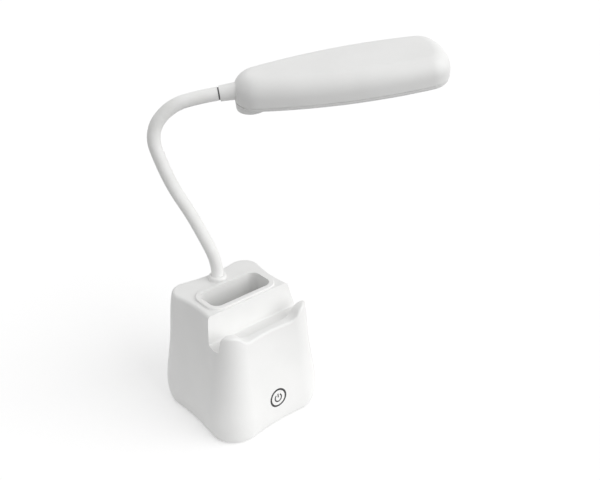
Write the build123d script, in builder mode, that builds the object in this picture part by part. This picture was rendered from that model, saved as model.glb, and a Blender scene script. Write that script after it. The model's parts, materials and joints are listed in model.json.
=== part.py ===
from build123d import *
from math import cos, radians, sin, sqrt, tan
import os

os.makedirs("parts", exist_ok=True)

# A cordless desk lamp: a lobed base with a phone slot, a pen cup and a touch key,
# a flexible neck behind the cup, and a long flat light head.
# Millimetres, +Z up, front is -Y, and the origin is the middle of the footprint.

# Base, outside
base_half_width = 43.5
base_half_depth = 43.5
lobe_radius = 20
foot_dip = 1.5
crown_dip = 2.7
deck_height = 88
foot_inset = 1.8
belly_height = 9
waist_height = 45
waist_inset = 3.7
crown_drop = 12
crown_inset = 6.9
shoulder_inset = 9.0
deck_edge_round = 2.5
wall = 2.4
overrun = 5

# Base, phone slot and front wall
slot_floor_drop = 18
front_wall_depth = 15.2
slot_depth = 11.2
slot_lean = 12.8
slot_corner_round = 1.5
lip_drop = 14.2
lip_half_length = 15
horn_drop = 6.5
horn_margin = 13
horn_side_margin = 6
horn_side_drop = 14
horn_round = 1.6
horn_edge_share = 0.3

# Pen cup
cup_side_margin = 19.5
cup_slot_gap = 1.0
cup_neck_gap = 0.2
cup_corner_share = 0.286
cup_wall = 1.6
cup_cell_gap = 3.3
cup_flange = 1.9
cup_flange_height = 1.2
cup_flange_round = 0.8
cup_clearance = 0.2

# Base, underside
mat_height = 1.2
mat_inset = 1.6
cover_height = 2.2
cover_clearance = 0.25
post_radius = 3.6
post_height = 30
post_reach = 12
cover_screw_radius = 1.3
cover_screw_head_radius = 2.6
cover_screw_head_height = 1.2
cover_screw_length = 10
ballast_height = 4
ballast_side_margin = 15.5
ballast_end_margin = 20.5
ballast_place = -6
ballast_corner_round = 5

# Touch key and its mark
key_height = 22.8
key_ring_radius = 6.9
key_ring_width = 1.4
key_arc_radius = 2.7
key_line_width = 1.0
key_gap_angle = 35
key_stroke_start = 0.3
key_stroke_length = 2.9
mark_depth = 0.4

# Battery
cell_radius = 9.2
cell_side_margin = 11
cell_cap_radius = 3.2
cell_cap_height = 1.0
cell_place = -8
contact_height = 14
contact_width = 8
contact_thickness = 0.6
cradle_wall = 1.8
cradle_floor = 1.2
cradle_side_height = 9
battery_lead_start = 20
battery_lead_height = 33
battery_lead_bend = 5
lead_radius = 0.8

# Boards
board_height = 1.2
control_board_length = 40
control_board_depth = 17
control_board_reach = 16
control_board_level = 12
standoff_radius = 2.2
standoff_spread = 30
standoff_row_spread = 11
board_screw_radius = 0.9
board_screw_head_radius = 1.7
board_screw_head_height = 1.0
board_screw_length = 5
chip_size = 6
chip_height = 1.6
coil_radius = 3
coil_height = 3
socket_width = 9.0
socket_height = 3.2
socket_depth = 7.4
socket_wall = 0.4
socket_tongue_height = 0.7
socket_tongue_width = 6.6
socket_recess = 0.4
light_pipe_radius = 1.1
light_pipe_place = 10
light_pipe_length = 10.5
touch_board_length = 28
touch_board_rise = 26
touch_board_reach = 9.9
touch_screw_spread = 22
touch_pad_radius = 6
touch_lead_place = 12
touch_lead_height = 29
touch_lead_bend = 6
clearance = 0.1

# Neck
neck_radius = 4.2
neck_bore_radius = 2.6
neck_core_radius = 2.5
core_bore_radius = 1.4
neck_lead_radius = 1.0
neck_root_reach = 21
neck_root_rise = 4
neck_azimuth = -32
link_length = 20
link_turns = (-21, -1.5, -5, 8, 5.5, 53, 37.5, 6.8)
link_clearance = 0.3
ferrule_radius = 6.3
ferrule_height = 3.2
ferrule_spigot_radius = 5.2
ferrule_spigot_length = 9
ferrule_edge_round = 1.2
lock_nut_width = 12.4
lock_nut_height = 4
root_sleeve_drop = 10
anchor_drop = 16

# Head
head_length = 135.3
head_nose_width = 34
head_far_width = 48.6
head_far_round = 16.2
head_side_bow = 4.6
head_end_bow = 1.1
head_height = 19.1
head_rise = 0.45
head_top_round = 10.8
shell_edge_round = 0.8
head_roll = 10.8
head_gap = 9.5
head_wall = 2.0
rim_height = 2.8
rim_inset = 0.4
rim_round = 2.4
groove_height = 1.3
groove_depth = 2.2
groove_radius = 21
washer_thickness = 0.8
washer_radius = 3.9
collar_radius = 4.9
collar_far_radius = 5.3
collar_length = 16.5
collar_flange_radius = 6.5
spigot_radius = 2.4
running_clearance = 0.05
clip_radius = 4
clip_height = 0.8
boss_radius = 10.2
boss_drop = 3.9
boss_margin = 0.2
boss_edge_round = 1.2
diffuser_margin = 4
diffuser_height = 1.6
diffuser_sill = 1.0
diffuser_ledge = 1.2
lip_thickness = 1.2
lip_rise = 0.9
diffuser_start = 38
diffuser_corner_round = 8
led_board_end_margin = 51
led_board_side_margin = 5
led_board_start = 44
led_board_level = 1.6
led_length = 3.5
led_width = 2.8
led_height = 0.8
led_columns = 10
led_rows = 3
led_row_spacing = 8
led_end_margin = 6
led_post_radius = 2.6
led_post_end_margin = 10
led_post_row_spread = 8
reflector_wall = 0.8
reflector_end_spread = 12
reflector_side_spread = 7
head_screw_radius = 1.2
head_screw_head_radius = 2.3
head_screw_head_height = 1.4
head_screw_length = 9
head_screw_place = 21.5
head_screw_spread = 12
head_post_radius = 3
head_lead_rise_start = 28
head_lead_rise_end = 36
head_lead_bend = 4

# Base heights and places that follow from them
lobe_x = base_half_width - lobe_radius
lobe_y = base_half_depth - lobe_radius
crown_height = deck_height - crown_drop
slot_floor_height = deck_height - slot_floor_drop
slot_front = base_half_depth - front_wall_depth
slot_back = slot_front - slot_depth
lip_height = deck_height - lip_drop
horn_height = deck_height - horn_drop
horn_place = base_half_width - horn_margin
horn_side_place = base_half_width - horn_side_margin
horn_side_height = deck_height - horn_side_drop
cover_top = mat_height + cover_height
key_stroke_bottom = key_height + key_stroke_start
ballast_length = 2 * (base_half_width - ballast_side_margin)
ballast_depth = 2 * (base_half_depth - ballast_end_margin)
ballast_top = cover_top + ballast_height
cell_length = 2 * (base_half_width - cell_side_margin)
cell_height = ballast_top + cradle_floor + clearance + cell_radius
neck_root_place = base_half_depth - neck_root_reach
slot_edge = slot_back - slot_floor_drop * tan(radians(slot_lean))
cup_rim = cup_wall + cup_flange
cup_front = cup_rim + cup_slot_gap - slot_edge
cup_rear = neck_root_place - ferrule_radius - cup_neck_gap - cup_rim
cup_length = 2 * (base_half_width - cup_side_margin)
cup_depth = cup_rear - cup_front
cup_middle = (cup_rear + cup_front) / 2
cup_corner_round = cup_depth * cup_corner_share
cup_floor_height = cell_height + cell_radius + cup_cell_gap + cup_wall
control_board_place = base_half_depth - control_board_reach
light_pipe_start = base_half_depth - light_pipe_length
touch_board_place = base_half_depth - touch_board_reach

# Neck heights and head places that follow from them
neck_root_height = deck_height + neck_root_rise
root_sleeve_bottom = deck_height - root_sleeve_drop
anchor_bottom = deck_height - anchor_drop
head_end = head_gap + head_length
head_top = head_rise + head_height / 2
head_bottom = head_rise - head_height / 2
rim_top = head_bottom + rim_height
boss_bottom = head_bottom - boss_drop
groove_bottom = rim_top - groove_height
diffuser_bottom = head_bottom + diffuser_sill
boss_middle = head_gap + boss_margin + boss_radius
led_board_length = head_length - led_board_end_margin
led_board_width = head_nose_width - 2 * led_board_side_margin
led_board_middle = led_board_start + led_board_length / 2
led_spacing = (led_board_length - 2 * led_end_margin) / (led_columns - 1)
led_post_spread = led_board_length - 2 * led_post_end_margin
board_face = led_board_level + board_height


def lobed_face(inset, dip, height):
    """Return a square face with four round lobes and sides hollowed by dip, drawn in evenly by inset."""
    lobe = lobe_radius - inset
    reach_x = (lobe_x**2 + dip**2) / (2 * dip)
    reach_y = (lobe_y**2 + dip**2) / (2 * dip)
    end_x = (lobe_x - lobe * lobe_x / reach_x, lobe_y + lobe * (reach_x - dip) / reach_x)
    end_y = (lobe_x + lobe * (reach_y - dip) / reach_y, lobe_y - lobe * lobe_y / reach_y)
    middle = (lobe_x + lobe * cos(radians(45)), lobe_y + lobe * sin(radians(45)))
    with BuildSketch(Plane.XY.offset(height)) as face:
        with BuildLine():
            for side in (1, -1):
                for front in (1, -1):
                    ThreePointArc(
                        (side * end_x[0], front * end_x[1]),
                        (side * middle[0], front * middle[1]),
                        (side * end_y[0], front * end_y[1]),
                    )
            for side in (1, -1):
                ThreePointArc(
                    (end_x[0], side * end_x[1]),
                    (0, side * (lobe_y + lobe - dip)),
                    (-end_x[0], side * end_x[1]),
                )
                ThreePointArc(
                    (side * end_y[0], end_y[1]),
                    (side * (lobe_x + lobe - dip), 0),
                    (side * end_y[0], -end_y[1]),
                )
        make_face()
    return face.sketch


def base_body(inset):
    """Return the base as one loft through foot, belly, waist, crown and deck, drawn in by inset."""
    levels = (
        (mat_height, foot_inset, foot_dip),
        (belly_height, 0, foot_dip),
        (waist_height, waist_inset, foot_dip),
        (crown_height, crown_inset, crown_dip),
        (deck_height, shoulder_inset, crown_dip),
    )
    with BuildPart() as body:
        for height, draft, dip in levels:
            add(lobed_face(draft + inset, dip, height))
        loft()
    return body.part


def lead(route, bend, radius):
    """Return a wire lead as a round tube along straight runs with one bend radius at each corner."""
    with BuildPart() as wire:
        with BuildLine():
            path = FilletPolyline(*route, radius=bend)
        with BuildSketch(Plane(origin=path @ 0, z_dir=path % 0)):
            Circle(radius)
        sweep(path=path)
    return wire.part


def save(piece, label):
    """Label a finished piece and write it under that name."""
    piece.part.label = label
    export_step(piece.part, f"parts/{label}.step")


outside = base_body(0)
lean_run = tan(radians(slot_lean))
above_deck = deck_height + overrun
deck_under = deck_height - wall
slot_under = slot_floor_height - wall
slot_back_top = slot_back - (above_deck - slot_floor_height) * lean_run
slot_wall_run = wall / cos(radians(slot_lean))
cavity_back_bottom = slot_back - slot_wall_run + wall * lean_run
cavity_back_top = cavity_back_bottom - (deck_under - slot_under) * lean_run
board_top = control_board_level + board_height
socket_middle_height = board_top + socket_height / 2
port_reach = base_half_depth - foot_dip
touch_screw_places = ((-touch_screw_spread / 2, key_height), (touch_screw_spread / 2, key_height))

# Room inside the base, lower under the slot than behind it
with BuildPart() as cavity:
    with BuildSketch(Plane.YZ):
        with BuildLine():
            Polyline(
                (-base_half_depth, mat_height - overrun),
                (-base_half_depth, slot_under),
                (-cavity_back_bottom, slot_under),
                (-cavity_back_top, deck_under),
                (base_half_depth, deck_under),
                (base_half_depth, mat_height - overrun),
                close=True,
            )
        make_face()
    extrude(amount=base_half_width, both=True)
    add(base_body(wall), mode=Mode.INTERSECT)

# Four posts for the cover screws, each joined to the wall of its lobe
post_outer = lobe_radius - wall / 2
post_middle = (post_reach - post_radius + post_outer) / 2
cover_screw_places = [
    (
        side * (lobe_x + post_reach * cos(radians(45))),
        front * (lobe_y + post_reach * sin(radians(45))),
    )
    for side in (1, -1)
    for front in (1, -1)
]
with BuildPart() as posts:
    with BuildSketch(Plane.XY.offset(cover_top)):
        for side in (1, -1):
            for front in (1, -1):
                post_x = side * (lobe_x + post_middle * cos(radians(45)))
                post_y = front * (lobe_y + post_middle * sin(radians(45)))
                with Locations(Location((post_x, post_y, 0), (0, 0, 45 * side * front))):
                    SlotOverall(post_outer - post_reach + post_radius, post_radius * 2)
    extrude(amount=post_height - cover_top)
    with Locations(*[(*place, cover_top) for place in cover_screw_places]):
        Cylinder(
            cover_screw_radius,
            cover_screw_length,
            align=(Align.CENTER, Align.CENTER, Align.MIN),
            mode=Mode.SUBTRACT,
        )
    add(base_body(wall / 2), mode=Mode.INTERSECT)

# Two bosses behind the front wall that carry the touch board
with BuildPart() as touch_bosses:
    with BuildSketch(Plane.XZ.offset(touch_board_place)):
        with Locations(*touch_screw_places):
            Circle(standoff_radius)
            Circle(board_screw_radius, mode=Mode.SUBTRACT)
    extrude(amount=base_half_depth - touch_board_place)
    add(base_body(wall / 2), mode=Mode.INTERSECT)

# Ring and power symbol, let into the front wall as a thin inlay
with BuildPart() as power_mark:
    with BuildSketch(Plane.XZ):
        with Locations((0, key_height)):
            Circle(key_ring_radius)
            Circle(key_ring_radius - key_ring_width, mode=Mode.SUBTRACT)
        with BuildLine():
            CenterArc((0, key_height), key_arc_radius, 90 + key_gap_angle, 360 - 2 * key_gap_angle)
        trace(line_width=key_line_width)
        with BuildLine():
            Line((0, key_stroke_bottom), (0, key_stroke_bottom + key_stroke_length))
        trace(line_width=key_line_width)
    extrude(amount=base_half_depth)
    add(outside, mode=Mode.INTERSECT)
    add(base_body(mark_depth), mode=Mode.SUBTRACT)
save(power_mark, "power_mark")

# Base shell
with BuildPart() as base_shell:
    add(outside)
    fillet(base_shell.faces().sort_by(Axis.Z)[-1].edges(), deck_edge_round)
    add(cavity.part, mode=Mode.SUBTRACT)
    add(posts.part)
    add(touch_bosses.part)

    # Phone slot, open at both sides
    with BuildSketch(Plane.YZ) as slot_section:
        with BuildLine():
            Polyline(
                (-slot_front, slot_floor_height),
                (-slot_back, slot_floor_height),
                (-slot_back_top, above_deck),
                (-slot_front, above_deck),
                close=True,
            )
        make_face()
        fillet(slot_section.vertices().group_by(Axis.Y)[0], slot_corner_round)
    extrude(amount=base_half_width, both=True, mode=Mode.SUBTRACT)

    # Front wall, low in the middle and raised to a horn at each side
    with BuildSketch(Plane.XZ.offset(slot_front - overrun)) as horn_section:
        with BuildLine() as horn_line:
            rise_place = (lip_half_length + horn_place) / 2
            rise_height = (lip_height + horn_height) / 2
            Line((0, lip_height), (lip_half_length, lip_height))
            rise = TangentArc((lip_half_length, lip_height), (rise_place, rise_height), tangent=(1, 0))
            TangentArc(rise @ 1, (horn_place, horn_height), tangent=rise % 1)
            TangentArc((horn_place, horn_height), (horn_side_place, horn_side_height), tangent=(1, 0))
            Line((horn_side_place, horn_side_height), (base_half_width, horn_side_height))
            Line((base_half_width, horn_side_height), (base_half_width, above_deck))
            Line((base_half_width, above_deck), (0, above_deck))
            mirror(about=Plane.YZ)
        make_face()
    extrude(amount=base_half_depth, mode=Mode.SUBTRACT)

    # Rounded top edges of the front wall
    crest_edges = base_shell.edges().filter_by_position(Axis.Z, lip_height - clearance, above_deck)
    crest_edges = crest_edges.filter_by_position(Axis.Y, -base_half_depth, -slot_front + clearance)
    crest_edges = crest_edges.filter_by(lambda edge: abs(edge.tangent_at().X) > horn_edge_share)
    fillet(crest_edges, horn_round)

    # Pen cup and neck openings in the deck
    with BuildSketch(Plane.XY.offset(deck_height)):
        with Locations((0, cup_middle)):
            RectangleRounded(
                cup_length + 2 * (cup_wall + cup_clearance),
                cup_depth + 2 * (cup_wall + cup_clearance),
                cup_corner_round + cup_wall + cup_clearance,
            )
        with Locations((0, neck_root_place)):
            Circle(ferrule_spigot_radius + clearance)
    extrude(amount=-wall, mode=Mode.SUBTRACT)

    # Charging port and light pipe openings in the rear wall
    with BuildSketch(Plane.XZ.offset(-base_half_depth)):
        with Locations((0, socket_middle_height)):
            SlotOverall(socket_width + 2 * clearance, socket_height + 2 * clearance)
        with Locations((light_pipe_place, socket_middle_height)):
            Circle(light_pipe_radius)
    extrude(amount=base_half_depth - light_pipe_start, mode=Mode.SUBTRACT)

    add(power_mark.part, mode=Mode.SUBTRACT)
save(base_shell, "base_shell")

# Pen cup, hung in the deck by its flange
with BuildPart() as pen_cup:
    with BuildSketch(Plane((0, cup_middle, cup_floor_height - cup_wall))):
        RectangleRounded(cup_length + 2 * cup_wall, cup_depth + 2 * cup_wall, cup_corner_round + cup_wall)
    extrude(amount=deck_height - cup_floor_height + cup_wall)
    with BuildSketch(Plane((0, cup_middle, deck_height))):
        RectangleRounded(cup_length + 2 * cup_rim, cup_depth + 2 * cup_rim, cup_corner_round + cup_rim)
    extrude(amount=cup_flange_height)
    fillet(pen_cup.faces().sort_by(Axis.Z)[-1].edges(), cup_flange_round)
    with BuildSketch(Plane((0, cup_middle, cup_floor_height))):
        RectangleRounded(cup_length, cup_depth, cup_corner_round)
    extrude(amount=deck_height + cup_flange_height - cup_floor_height, mode=Mode.SUBTRACT)
save(pen_cup, "pen_cup")

# Bottom cover with its screw seats and board standoffs
standoff_places = [
    (side * standoff_spread / 2, control_board_place + row * standoff_row_spread / 2)
    for side in (1, -1)
    for row in (1, -1)
]
with BuildPart() as bottom_cover:
    add(lobed_face(foot_inset + wall + cover_clearance, foot_dip, mat_height))
    extrude(amount=cover_height)
    with BuildSketch(Plane.XY.offset(mat_height)):
        with Locations(*cover_screw_places):
            Circle(cover_screw_head_radius + clearance)
    extrude(amount=cover_screw_head_height, mode=Mode.SUBTRACT)
    with BuildSketch(Plane.XY.offset(mat_height)):
        with Locations(*cover_screw_places):
            Circle(cover_screw_radius + clearance)
    extrude(amount=cover_height, mode=Mode.SUBTRACT)
    with BuildSketch(Plane.XY.offset(cover_top)):
        with Locations(*standoff_places):
            Circle(standoff_radius)
    extrude(amount=control_board_level - cover_top)
    with BuildSketch(Plane.XY.offset(control_board_level)):
        with Locations(*standoff_places):
            Circle(board_screw_radius)
    extrude(amount=board_height - board_screw_length, mode=Mode.SUBTRACT)
save(bottom_cover, "bottom_cover")

# Soft mat under the whole foot
with BuildPart() as anti_slip_mat:
    add(lobed_face(foot_inset + mat_inset, foot_dip, 0))
    extrude(amount=mat_height)
save(anti_slip_mat, "anti_slip_mat")

# Cover screws
with BuildPart() as cover_screws:
    with BuildSketch(Plane.XY.offset(mat_height)):
        with Locations(*cover_screw_places):
            Circle(cover_screw_head_radius)
    extrude(amount=cover_screw_head_height)
    with BuildSketch(Plane.XY.offset(mat_height)):
        with Locations(*cover_screw_places):
            Circle(cover_screw_radius)
    extrude(amount=cover_screw_length)
save(cover_screws, "cover_screws")

# Steel plate that keeps the base down
with BuildPart() as ballast_plate:
    with BuildSketch(Plane((0, ballast_place, cover_top))):
        RectangleRounded(ballast_length, ballast_depth, ballast_corner_round)
    extrude(amount=ballast_height)
save(ballast_plate, "ballast_plate")

# Rechargeable cell, lying across the base
cell_half = (cell_length + cell_cap_height) / 2
with BuildPart() as battery_cell:
    with BuildSketch(Plane.YZ.offset(-cell_half)):
        with Locations((cell_place, cell_height)):
            Circle(cell_radius)
    extrude(amount=cell_length)
    fillet(battery_cell.edges().filter_by(GeomType.CIRCLE), contact_thickness)
    with BuildSketch(Plane.YZ.offset(cell_half - cell_cap_height)):
        with Locations((cell_place, cell_height)):
            Circle(cell_cap_radius)
    extrude(amount=cell_cap_height)
save(battery_cell, "battery_cell")

# Sprung contact plates at the two ends of the cell
with BuildPart() as battery_contacts:
    for side in (1, -1):
        with BuildSketch(Plane.YZ.offset(side * cell_half)):
            with Locations((cell_place, cell_height)):
                Rectangle(contact_width, contact_height)
        extrude(amount=side * contact_thickness)
save(battery_contacts, "battery_contacts")

# Cradle round the cell
cradle_length = 2 * (cell_half + contact_thickness + clearance)
cradle_depth = 2 * (cell_radius + clearance)
with BuildPart() as battery_cradle:
    with BuildSketch(Plane((0, cell_place, ballast_top))):
        Rectangle(cradle_length + 2 * cradle_wall, cradle_depth + 2 * cradle_wall)
    extrude(amount=cradle_side_height)
    with BuildSketch(Plane((0, cell_place, ballast_top + cradle_floor))):
        Rectangle(cradle_length, cradle_depth)
    extrude(amount=cradle_side_height - cradle_floor, mode=Mode.SUBTRACT)
save(battery_cradle, "battery_cradle")

# Control board on the cover's standoffs, with its chips and charge light
with BuildPart() as control_board:
    with BuildSketch(Plane((0, control_board_place, control_board_level))):
        Rectangle(control_board_length, control_board_depth)
        with GridLocations(standoff_spread, standoff_row_spread, 2, 2):
            Circle(board_screw_radius + clearance, mode=Mode.SUBTRACT)
    extrude(amount=board_height)
save(control_board, "control_board")

with BuildPart() as board_chips:
    with BuildSketch(Plane((0, control_board_place, board_top))):
        with Locations((-chip_size, -chip_size / 2)):
            Rectangle(chip_size, chip_size)
        with Locations((light_pipe_place, light_pipe_start - control_board_place - led_width / 2)):
            Rectangle(led_length, led_width)
    extrude(amount=chip_height)
    with BuildSketch(Plane((0, control_board_place, board_top))):
        with Locations((chip_size, -chip_size / 2)):
            Circle(coil_radius)
    extrude(amount=coil_height)
save(board_chips, "board_chips")

# Charging socket at the rear edge of the board, and its tongue
socket_front = port_reach - socket_recess
with BuildPart() as charging_socket:
    with BuildSketch(Plane.XZ.offset(-socket_front)):
        with Locations((0, socket_middle_height)):
            SlotOverall(socket_width, socket_height)
    extrude(amount=socket_depth)
    with BuildSketch(Plane.XZ.offset(-socket_front)):
        with Locations((0, socket_middle_height)):
            SlotOverall(socket_width - 2 * socket_wall, socket_height - 2 * socket_wall)
    extrude(amount=socket_depth - socket_wall, mode=Mode.SUBTRACT)
save(charging_socket, "charging_socket")

with BuildPart() as socket_tongue:
    with BuildSketch(Plane.XZ.offset(socket_depth - socket_wall - socket_front)):
        with Locations((0, socket_middle_height)):
            Rectangle(socket_tongue_width, socket_tongue_height)
    extrude(amount=-socket_depth + socket_wall + 2 * socket_recess)
save(socket_tongue, "socket_tongue")

# Clear pipe that brings the charge light to the rear wall
with BuildPart() as charge_light_pipe:
    with BuildSketch(Plane.XZ.offset(-light_pipe_start)):
        with Locations((light_pipe_place, socket_middle_height)):
            Circle(light_pipe_radius)
    extrude(amount=light_pipe_start - base_half_depth)
    add(outside, mode=Mode.INTERSECT)
save(charge_light_pipe, "charge_light_pipe")

# Touch board behind the key, with the pad that meets the wall
with BuildPart() as touch_board:
    with BuildSketch(Plane.XZ.offset(touch_board_place)):
        with Locations((0, key_height)):
            Rectangle(touch_board_length, touch_board_rise)
        with Locations(*touch_screw_places):
            Circle(board_screw_radius + clearance, mode=Mode.SUBTRACT)
    extrude(amount=-board_height)
save(touch_board, "touch_board")

with BuildPart() as touch_pad:
    with BuildSketch(Plane.XZ.offset(touch_board_place)):
        with Locations((0, key_height)):
            Circle(touch_pad_radius)
    extrude(amount=base_half_depth - touch_board_place)
    add(base_body(wall), mode=Mode.INTERSECT)
save(touch_pad, "touch_pad")

# Screws of both boards
with BuildPart() as board_screws:
    with BuildSketch(Plane.XY.offset(board_top)):
        with Locations(*standoff_places):
            Circle(board_screw_head_radius)
    extrude(amount=board_screw_head_height)
    with BuildSketch(Plane.XY.offset(board_top)):
        with Locations(*standoff_places):
            Circle(board_screw_radius)
    extrude(amount=-board_screw_length)
    with BuildSketch(Plane.XZ.offset(touch_board_place - board_height)):
        with Locations(*touch_screw_places):
            Circle(board_screw_head_radius)
    extrude(amount=-board_screw_head_height)
    with BuildSketch(Plane.XZ.offset(touch_board_place - board_height)):
        with Locations(*touch_screw_places):
            Circle(board_screw_radius)
    extrude(amount=board_screw_length - board_height)
save(board_screws, "board_screws")

# Leads inside the base
lead_end = control_board_length / 2 - board_screw_head_radius
battery_run = cell_half + contact_thickness + lead_radius
with BuildPart() as battery_leads:
    for side in (1, -1):
        battery_route = (
            (side * battery_run, cell_place, battery_lead_start),
            (side * battery_run, cell_place, battery_lead_height),
            (side * battery_run, control_board_place, battery_lead_height),
            (side * lead_end, control_board_place, battery_lead_height),
            (side * lead_end, control_board_place, board_top),
        )
        add(lead(battery_route, battery_lead_bend, lead_radius))
save(battery_leads, "battery_leads")

touch_route = (
    (touch_lead_place, board_height - touch_board_place, touch_lead_height),
    (touch_lead_place, control_board_place - chip_size, touch_lead_height),
    (touch_lead_place, control_board_place - chip_size, board_top),
)
with BuildPart() as touch_lead:
    add(lead(touch_route, touch_lead_bend, lead_radius))
save(touch_lead, "touch_lead")

# Collar that holds the neck in the deck, and its nut
with BuildPart() as neck_ferrule:
    with BuildSketch(Plane((0, neck_root_place, deck_height))):
        Circle(ferrule_radius)
    extrude(amount=ferrule_height)
    fillet(neck_ferrule.edges().sort_by(Axis.Z)[-1], ferrule_edge_round)
    with BuildSketch(Plane((0, neck_root_place, deck_height))):
        Circle(ferrule_spigot_radius)
    extrude(amount=-ferrule_spigot_length)
    with Locations((0, neck_root_place, deck_height)):
        Cylinder(neck_radius + clearance, 3 * ferrule_spigot_length, mode=Mode.SUBTRACT)
save(neck_ferrule, "neck_ferrule")

with BuildPart() as ferrule_nut:
    with BuildSketch(Plane((0, neck_root_place, deck_under))):
        RegularPolygon(lock_nut_width / 2, 6, major_radius=False)
        Circle(ferrule_spigot_radius + clearance, mode=Mode.SUBTRACT)
    extrude(amount=-lock_nut_height)
save(ferrule_nut, "ferrule_nut")

# Neck, as a root and eight short links, each bent by its own share of the neck's curve
neck_forward = Vector(cos(radians(neck_azimuth)), sin(radians(neck_azimuth)), 0)
upright = Vector(0, 0, 1)


def neck_direction(heading):
    """Return the direction in the neck's plane that leans forward from upright by heading degrees."""
    return neck_forward * sin(radians(heading)) + upright * cos(radians(heading))


def link_arc(start, heading, turn):
    """Return the middle and the end of an arc one link long that starts along heading and bends by turn."""
    bend_radius = link_length / radians(turn)
    middle_run = 2 * bend_radius * sin(radians(turn / 4))
    full_run = 2 * bend_radius * sin(radians(turn / 2))
    middle = start + neck_direction(heading + turn / 4) * middle_run
    end = start + neck_direction(heading + turn / 2) * full_run
    return middle, end


neck_root = Vector(0, neck_root_place, neck_root_height)
link_starts = [neck_root]
link_middles = []
link_headings = [0]
for turn in link_turns:
    link_middle, link_end = link_arc(link_starts[-1], link_headings[-1], turn)
    link_middles.append(link_middle)
    link_starts.append(link_end)
    link_headings.append(link_headings[-1] + turn)


def link_rod(number, radius):
    """Return a round rod along one link's arc."""
    with BuildPart() as rod:
        with BuildLine():
            path = ThreePointArc(link_starts[number], link_middles[number], link_starts[number + 1])
        with BuildSketch(Plane(origin=path @ 0, z_dir=path % 0)):
            Circle(radius)
        sweep(path=path)
    return rod.part


def link_plane(number):
    """Return the plane across the neck at one link's start."""
    return Plane(origin=link_starts[number], z_dir=neck_direction(link_headings[number]))


def drilled_ball(number):
    """Return the ball that one link's socket turns on, drilled for the lead."""
    with BuildPart(link_plane(number)) as ball:
        Sphere(neck_radius)
        Cylinder(core_bore_radius, 2 * neck_radius, mode=Mode.SUBTRACT)
    return ball.part


# Root of the neck in the base
with BuildPart() as neck_root_sleeve:
    with BuildSketch(Plane((0, neck_root_place, root_sleeve_bottom))):
        Circle(neck_radius)
    extrude(amount=neck_root_height - root_sleeve_bottom)
    add(drilled_ball(0))
    with BuildSketch(Plane((0, neck_root_place, root_sleeve_bottom))):
        Circle(neck_bore_radius)
    extrude(amount=neck_root_height - root_sleeve_bottom, mode=Mode.SUBTRACT)
save(neck_root_sleeve, "neck_root_sleeve")

with BuildPart() as neck_anchor:
    with BuildSketch(Plane((0, neck_root_place, anchor_bottom))):
        Circle(neck_core_radius)
        Circle(core_bore_radius, mode=Mode.SUBTRACT)
    extrude(amount=neck_root_height - anchor_bottom)
    with BuildSketch(Plane((0, neck_root_place, anchor_bottom))):
        Circle(neck_radius)
        Circle(core_bore_radius, mode=Mode.SUBTRACT)
    extrude(amount=root_sleeve_bottom - anchor_bottom)
save(neck_anchor, "neck_anchor")

# Links, each with a ball above and a socket below that turns on the ball before it
link_count = len(link_turns)
for number in range(link_count):
    with BuildPart() as neck_sleeve:
        add(link_rod(number, neck_radius))
        if number < link_count - 1:
            add(drilled_ball(number + 1))
        add(link_rod(number, neck_bore_radius), mode=Mode.SUBTRACT)
        with Locations(link_plane(number).location):
            Sphere(neck_radius + link_clearance, mode=Mode.SUBTRACT)
    save(neck_sleeve, f"neck_sleeve_{number + 1}")
    with BuildPart() as neck_core:
        add(link_rod(number, neck_core_radius))
        add(link_rod(number, core_bore_radius), mode=Mode.SUBTRACT)
        with Locations(link_plane(number).location):
            Sphere(neck_radius + link_clearance, mode=Mode.SUBTRACT)
    save(neck_core, f"neck_core_{number + 1}")

# Lead through the whole neck, from the control board to the head
with BuildPart() as neck_lead:
    with BuildLine() as lead_line:
        Line((0, neck_root_place, board_top), neck_root)
        for number in range(link_count):
            ThreePointArc(link_starts[number], link_middles[number], link_starts[number + 1])
    with BuildSketch(Plane((0, neck_root_place, board_top))):
        Circle(neck_lead_radius)
    sweep(path=lead_line.line)
save(neck_lead, "neck_lead")

# Head, drawn along the end of the neck and rolled a little about it
neck_end = link_starts[-1]
head_forward = neck_direction(link_headings[-1])
level_side = upright.cross(neck_forward)
level_up = head_forward.cross(level_side)
head_side = level_side * cos(radians(head_roll)) + level_up * sin(radians(head_roll))
head_up = level_up * cos(radians(head_roll)) - level_side * sin(radians(head_roll))
head_plane = Plane(origin=neck_end, x_dir=head_forward, z_dir=head_up)
neck_end_plane = Plane(origin=neck_end, x_dir=head_side, z_dir=head_forward)
head_screw_places = ((head_screw_place, head_screw_spread / 2), (head_screw_place, -head_screw_spread / 2))


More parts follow.
